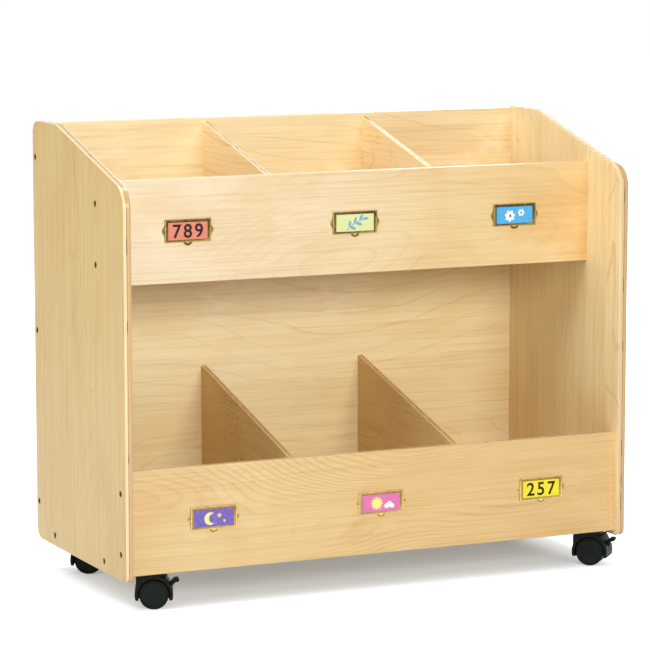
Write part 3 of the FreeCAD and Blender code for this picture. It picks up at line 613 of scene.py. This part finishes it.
tip = primitive(tree, "GeometryNodeMeshCone", "Mesh", {
    "Radius Bottom": given["Shank radius"], "Radius Top": 0.0, "Depth": POINT, "Vertices": 12},
    (0, 0, maths(tree, "ADD", given["Head depth"], shaft)))
hidden = add_node(tree, "GeometryNodeSetMaterial", {
    "Geometry": joined(tree, shank, tip), "Material": given["Finish"]}).outputs[0]
placed = place_on_seats(tree, given, joined(tree, head, hidden))
tree.links.new(placed, add_node(tree, "NodeGroupOutput").inputs[0])
WOOD_SCREW = {"Head radius": 0.0055, "Head depth": 0.003, "Shank radius": 0.00225,
              "Recess reach": 0.0066, "Recess width": 0.0015}
CASTER_SCREW = {"Head radius": 0.00375, "Head depth": 0.002, "Shank radius": 0.002,
                "Recess reach": 0.0046, "Recess width": 0.0011}
DRIVES = {"left_side_screws": ((1, 0, 0), screw_black, WOOD_SCREW),
          "right_side_screws": ((-1, 0, 0), screw_black, WOOD_SCREW),
          "back_screws": ((0, -1, 0), screw_black, WOOD_SCREW),
          "caster_screws": ((0, 0, 1), screw_zinc, CASTER_SCREW)}
FIRST_SEED = 11
for number, (node, (direction, finish, shape)) in enumerate(DRIVES.items()):
    points, length = seats(node, direction)
    screws = run_tree(points, tree, finish, {**shape, "Length": length},
                     seed=FIRST_SEED + number)
    screws.name = node.replace("_screws", "_crosshead_screws")
    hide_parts(node)
    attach(screws, "carcase")

# %% [markdown]
# ## Aged brass
# The label holders are stamped from thin brass sheet and left to age. The hollows keep a brown
# patina and the ridges, which hands rub, stay bright. Each point of the stamping carries a
# number, worn, for how far it stands out, and the finish reads it. The upper row is darker.

# %% Brass finishes
def aged_brass(name, bright, patina, low, high):
    made, tree, shader = new_material(name)
    worn = add_node(tree, "ShaderNodeAttribute", attribute_name="worn").outputs["Fac"]
    blotches = noise(tree, stretched(tree, (160, 160, 160)), 3.0, 0.6)
    blotches = maths(tree, "SUBTRACT", blotches, 0.5)
    rubbed = maths(tree, "ADD", worn, maths(tree, "MULTIPLY", blotches, 0.9))
    rubbed = ease(tree, rubbed, 0.25, 0.85)
    tree.links.new(mix_colour(tree, rubbed, patina, bright), shader.inputs["Base Color"])
    tree.links.new(maths(tree, "SUBTRACT", high, maths(tree, "MULTIPLY", rubbed, high - low)),
                   shader.inputs["Roughness"])
    pits = noise(tree, stretched(tree, (900, 900, 900)), 2.0)
    bump = add_node(tree, "ShaderNodeBump", {"Strength": 0.2, "Distance": 0.0002, "Height": pits})
    tree.links.new(bump.outputs[0], shader.inputs["Normal"])
    shader.inputs["Metallic"].default_value = 0.85
    return made


dark_brass = aged_brass("dark_brass", colour(168, 140, 76), colour(62, 44, 16), 0.36, 0.58)
gold_brass = aged_brass("gold_brass", colour(208, 180, 114), colour(134, 102, 46), 0.36, 0.54)
ROWS = {"upper": dark_brass, "lower": gold_brass}
print("brass for", len(ROWS), "rows")

# %% [markdown]
# ## A stamped label holder
# The frame is one moulding that runs round the window with mitred corners, wider at the sides
# than at the bottom. It stands on a U-shaped spacer, which leaves a slot for the card that is
# open at the top. An ear on each side takes a pin, and a shell-shaped finger tab hangs below.
# Every part is a closed form made from the same small helper, which joins loops of points.

# %% Helpers for closed forms
def shell(shape, loops, closed=False):
    """Joins loops of as many points each, and caps the two ends or closes the ring."""
    rows = [[shape.verts.new(point) for point in loop] for loop in loops]
    pairs = list(zip(rows, rows[1:] + rows[:1])) if closed else list(zip(rows, rows[1:]))
    for first, second in pairs:
        for number in range(len(first)):
            after = (number + 1) % len(first)
            shape.faces.new((first[number], first[after], second[after], second[number]))
    if not closed:
        shape.faces.new(rows[0][::-1])
        shape.faces.new(rows[-1])
    return rows


def from_shape(name, shape, finishes, angle=32):
    """A piece from a bmesh, with its faces turned outwards and its gentle edges smoothed."""
    bmesh.ops.recalc_face_normals(shape, faces=shape.faces)
    mesh = bpy.data.meshes.new(name)
    shape.to_mesh(mesh)
    shape.free()
    mesh.shade_smooth()
    mesh.set_sharp_from_angle(angle=math.radians(angle))
    for finish in finishes:
        mesh.materials.append(finish)
    made = bpy.data.objects.new(name, mesh)
    scene.collection.objects.link(made)
    return made

# %% Make the six holders
HALF_WIDTH, HALF_HEIGHT, CHANNEL = 41.0, 19.0, 1.2
RIMS = {"side": 6.0, "bottom": 3.9, "top": 5.1}
# The share of its worn value that the top rail keeps. The darker top rail is painted shade.
TOP_RAIL_SHADE = 0.65
# how far in from the outer edge, as a share of the rim, how far out of the wood, and how worn
MOULDING = [(0, 1.2, 0.3), (0, 1.75, 0.6), (0.08, 1.95, 0.9), (0.2, 2.0, 1.0), (0.3, 1.93, 0.7),
            (0.36, 1.66, 0.1), (0.44, 1.62, 0.0), (0.5, 1.78, 0.4), (0.58, 1.95, 0.9),
            (0.66, 1.8, 0.5), (0.72, 1.6, 0.1), (0.84, 1.58, 0.2), (0.94, 1.55, 0.5),
            (1, 1.42, 0.6), (1, 1.2, 0.2)]
EAR = [(40.5, 11), (41.3, 9.4), (42.4, 8.0), (42.8, 6.4), (43.2, 5.2), (44.4, 4.4), (45.3, 2.6),
       (45.5, 0)]


def holder_shape(shape, middle, face, height):
    """Every form of one holder; all sizes are in millimetres, and w is the way out of the wood."""
    glow = shape.verts.layers.float.new("worn")

    def at(u, v, w):
        return (middle + u / 1000, face - w / 1000, height + v / 1000)

    def mark(rows, values):
        for row, value in zip(rows, values):
            for point in row:
                point[glow] = value

    loops = []
    for share, out, _ in MOULDING:
        right = HALF_WIDTH - share * RIMS["side"]
        low, high = share * RIMS["bottom"] - HALF_HEIGHT, HALF_HEIGHT - share * RIMS["top"]
        corners = ((-right, low), (right, low), (right, high), (-right, high))
        loops.append([at(u, v, out) for u, v in corners])
    rows = shell(shape, loops, closed=True)
    mark(rows, [worn for _, _, worn in MOULDING])
    # The top rail is darkened here: painted shade.
    for row in rows:
        for point in row[2:]:  # grime settles on the top rail, which no hand rubs
            point[glow] *= TOP_RAIL_SHADE
    spacer = [(-41, -19), (41, -19), (41, 19), (38, 19),
              (38, -16.5), (-38, -16.5), (-38, 19), (-41, 19)]
    mark(shell(shape, [[at(u, v, out) for u, v in spacer] for out in (0, CHANNEL)]), (0.3, 0.3))
    for hand in (-1, 1):
        outline = EAR + [(u, -v) for u, v in EAR[-2::-1]]
        rim = [(hand * (40.6 + (u - 40.6) * 0.9), v * 0.94) for u, v in outline]
        loops = [[at(hand * u, v, out) for u, v in outline] for out in (0, 0.5)]
        mark(shell(shape, loops + [[at(u, v, 0.8) for u, v in rim]]), (0.2, 0.5, 0.6))
    arc = [math.radians(180 + 16.8 + number * (180 - 33.6) / 18) for number in range(19)]
    edge = [(9 * math.cos(angle), -16 + 9 * math.sin(angle)) for angle in arc]
    loops = [[at(u, v, 0) for u, v in edge]]
    for share, out in ((1, 0.6), (0.92, 0.95), (0.8, 1.0), (0.7, 1.35), (0.5, 1.65), (0.25, 1.85),
                       (0.06, 1.9)):
        loops.append([at(u * share, -18.6 + (v + 18.6) * share, out) for u, v in edge])
    mark(shell(shape, loops), (0.1, 0.7, 0.8, 0.1, 0.2, 0.6, 0.9, 1.0))


for node in sorted(nodes):
    if node.endswith("_label_holder"):
        low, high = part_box(node)
        shape = bmesh.new()
        holder_shape(shape, (low[0] + high[0]) / 2, high[1], high[2] - HALF_HEIGHT / 1000)
        holder = from_shape(node.replace("_holder", "_frame"), shape, [ROWS[node.split("_")[0]]])
        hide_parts(node)
        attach(holder, "carcase")
        print(holder.name, len(holder.data.polygons), "faces")

# %% [markdown]
# ## Escutcheon pins
# Each ear is nailed to the wood by a small round-headed pin. The head is a ball pressed flat,
# half sunk in the ear, on a thin shank. The same seat-reading and the same tree ending serve
# here, and only the shape differs.

# %% Pins of the label holders
PIN = {"Head radius": 0.0016, "Head rise": 0.001, "Shank radius": 0.0008}
PIN_POINT = 0.0002
tree, given = fastener_tree("escutcheon_pin", [*PIN, "Length"])
ball = add_node(tree, "GeometryNodeMeshUVSphere", {
    "Segments": 14, "Rings": 9, "Radius": 1.0}).outputs[0]
squeeze = add_node(tree, "ShaderNodeCombineXYZ", {
    0: given["Head radius"], 1: given["Head radius"], 2: given["Head rise"]}).outputs[0]
down = add_node(tree, "ShaderNodeCombineXYZ", {2: given["Head rise"]}).outputs[0]
ball = add_node(tree, "GeometryNodeTransform", {
    "Geometry": ball, "Scale": squeeze, "Translation": down})
nail = primitive(tree, "GeometryNodeMeshCone", "Mesh", {
    "Radius Bottom": given["Shank radius"], "Radius Top": PIN_POINT, "Depth": given["Length"],
    "Vertices": 8}, (0, 0, given["Head rise"]))
finished(tree, place_on_seats(tree, given, joined(tree, ball.outputs[0], nail)), given["Finish"])
points, length = seats("holder_pins", (0, 1, 0))
pins = run_tree(points, tree, gold_brass, {**PIN, "Length": length - PIN["Head rise"]}, seed=5)
pins.name = "escutcheon_pins"
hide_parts("holder_pins")
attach(pins, "carcase")

# %% [markdown]
# ## Printed cards
# Each holder has a card of its own colour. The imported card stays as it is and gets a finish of
# coated board with a faint mottle. Its picture is a film of ink in raised flat shapes, a
# twentieth of a millimetre thick, cut from simple outlines: numbers, leaves, a flower, the moon
# and the sun. The ink rides with the card when the card is pulled up.

# %% Card and ink finishes
def coated_board(name, shade, light=0.35):
    made, tree, shader = new_material(name)
    mottle = noise(tree, stretched(tree, (260, 260, 260)), 3.0, 0.6)
    tint = tuple(part + (1 - part) * 0.25 for part in shade[:3]) + (1,)
    tree.links.new(mix_colour(tree, ease(tree, mottle, 0.4, 0.75, 0.0, light), shade, tint),
                   shader.inputs["Base Color"])
    tree.links.new(ease(tree, mottle, 0.3, 0.7, 0.45, 0.6), shader.inputs["Roughness"])
    shader.inputs["Specular IOR Level"].default_value = 0.2
    return made


CARDS = {"salmon_card": colour(226, 132, 104), "lime_card": colour(222, 226, 156),
         "sky_card": colour(72, 172, 222), "violet_card": colour(118, 96, 180),
         "pink_card": colour(222, 118, 174), "yellow_card": colour(242, 224, 34)}
INKS = {"black": colour(20, 10, 8), "blue": colour(112, 168, 204),
        "white": colour(250, 244, 236), "brown": colour(150, 96, 60),
        "cream": colour(252, 236, 150), "straw": colour(244, 222, 110)}
INK_MOTTLE = 0.04
boards = {name: coated_board(name, shade) for name, shade in CARDS.items()}
inks = {name: coated_board(f"{name}_ink", shade, INK_MOTTLE) for name, shade in INKS.items()}
slots = {part["node"]: part["material_slot"] for part in frame["record"]["subparts"]}
for node in nodes:
    if node.endswith("_label_card"):
        dress(node, boards[slots[node]])
print(len(boards), "card colours,", len(inks), "inks")

# %% Outlines for the pictures
def disc(u, v, wide, tall=None, turn=0.0, count=26):
    """A circle or a turned ellipse round u, v, in millimetres and degrees."""
    tall, turn = tall or wide, math.radians(turn)
    spots = [(wide * math.cos(step), tall * math.sin(step))
             for step in (math.tau * number / count for number in range(count))]
    return [(u + x * math.cos(turn) - y * math.sin(turn),
             v + x * math.sin(turn) + y * math.cos(turn)) for x, y in spots]


def rays(u, v, inner, outer, count, turn=90.0):
    """A star, or a ring of rays round a disc."""
    steps = [(number, math.radians(turn + 180 * number / count)) for number in range(2 * count)]
    reach = (outer, inner)
    return [(u + reach[number % 2] * math.cos(step), v + reach[number % 2] * math.sin(step))
            for number, step in steps]


def petals(u, v, reach, wide, tall, count, turn=0.0):
    """Ellipses round a centre, each pointing outwards."""
    spread = [turn + 360 * number / count for number in range(count)]
    return [disc(u + reach * math.cos(math.radians(step)),
                 v + reach * math.sin(math.radians(step)), wide, tall, step) for step in spread]


def arc(u, v, radius, first, last, count):
    """Points of a circle round u, v from one angle to another, in degrees."""
    steps = [math.radians(first + (last - first) * number / (count - 1)) for number in range(count)]
    return [(u + radius * math.cos(step), v + radius * math.sin(step)) for step in steps]


def moon(u, v, radius):
    """A crescent that opens to the right: one circle bitten by a smaller one."""
    bite = arc(u + 0.55 * radius, v, 0.772 * radius, 277, 83, 17)
    return arc(u, v, radius, 50, 310, 25) + bite[1:-1]


PICTURES = {
    "upper_middle": [("blue", [(-17, -12), (-15.6, -12.4), (0, -2), (15, 4.6), (14.6, 5.8),
                               (-1, -0.6)]),
                     *(("blue", disc(u, v, 5.6, 2.3, turn)) for u, v, turn in
                       ((-9.5, -1.5, 75), (-3.4, -9, -18), (0.5, 4.4, 70), (7.5, -2.6, -12),
                        (11, 8.4, 60), (19.4, 6.2, 8)))],
    "upper_right": [*(("white", petal) for petal in petals(-9, -1.5, 5.6, 4.4, 2.9, 7, 12)),
                    ("brown", disc(-9, -1.5, 3)),
                    *(("white", petal) for petal in petals(13, 3.5, 3.6, 2.8, 1.9, 6)),
                    ("brown", disc(13, 3.5, 1.9))],
    "lower_left": [("cream", moon(-6, -1, 10.5)), ("straw", rays(10, 3.5, 2.0, 4.8, 5)),
                   ("cream", rays(19, -6, 1.2, 2.8, 5, 70))],
    "lower_middle": [("straw", rays(-8, -0.5, 8.2, 12.4, 12)), ("cream", disc(-8, -0.5, 7.2)),
                     *(("white", disc(u, v, r)) for u, v, r in
                       ((10, -6, 4.2), (15, -3.6, 5), (20.5, -6.2, 3.8)))],
}
NUMERALS = {"upper_left": "789", "lower_right": "257"}
print(sum(map(len, PICTURES.values())), "outlines")

# %% Print the cards
INK_FILM, INK_STEP = 0.05, 0.01  # millimetres
DIGIT_SIZE, DIGIT_WEIGHT, DIGIT_SPACING, DIGIT_DROP = 31.5, 0.6, 1.26, 1.4
WINDOW_DROP = 0.0196  # from a holder's top to the middle of its window


def numerals(text):
    """The outlines of a word of digits as a flat mesh, centred, in millimetres."""
    curve = bpy.data.curves.new("numerals", "FONT")
    curve.body, curve.size, curve.offset = text, DIGIT_SIZE, DIGIT_WEIGHT
    curve.space_character = DIGIT_SPACING
    curve.align_x, curve.align_y = "CENTER", "CENTER"
    made = bpy.data.objects.new("numerals", curve)
    scene.collection.objects.link(made)
    bpy.context.view_layer.update()
    mesh = bpy.data.meshes.new_from_object(made)
    bpy.data.objects.remove(made)
    return mesh


def print_card(shape, at, pieces):
    """Lays each outline on the card, a hair above the one before, and gives it thickness."""
    for layer, (ink, outline) in enumerate(pieces):
        top = INK_FILM + INK_STEP * (layer % 5)
        rows = shell(shape, [[at(u, v, lift) for u, v in outline] for lift in (0, top)])
        for face in {face for row in rows for point in row for face in point.link_faces}:
            face.material_index = list(inks).index(ink)


for node in sorted(nodes):
    if not node.endswith("_label_card"):
        continue
    place = node.replace("_label_card", "")
    low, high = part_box(node)
    middle = (low[0] + high[0]) / 2
    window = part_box(f"{place}_label_holder")[1][2] - WINDOW_DROP

    def at(u, v, lift):
        return (middle + u / 1000, low[1] - lift / 1000, window + v / 1000)

    shape = bmesh.new()
    if place in PICTURES:
        print_card(shape, at, PICTURES[place])
    else:
        flat = numerals(NUMERALS[place])
        shape.from_mesh(flat)
        bmesh.ops.remove_doubles(shape, verts=shape.verts, dist=1e-4)
        for point in shape.verts:
            point.co = at(point.co.x, point.co.y - DIGIT_DROP, INK_FILM)
        grown = bmesh.ops.extrude_face_region(shape, geom=shape.faces[:])["geom"]
        for point in grown:
            if isinstance(point, bmesh.types.BMVert):
                point.co.y = low[1]
    printed = from_shape(f"{place}_label_picture", shape, list(inks.values()), 20)
    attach(printed, f"{place}_card")
    print(printed.name, len(printed.data.polygons), "faces")

# %% [markdown]
# ## The last lines
# The sizes of the imported part and of the dressed one are set side by side.

# %% The last lines
low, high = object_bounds()
sizes = {"packed": [list(corner) for corner in packed_bounds], "dressed": [list(low), list(high)]}
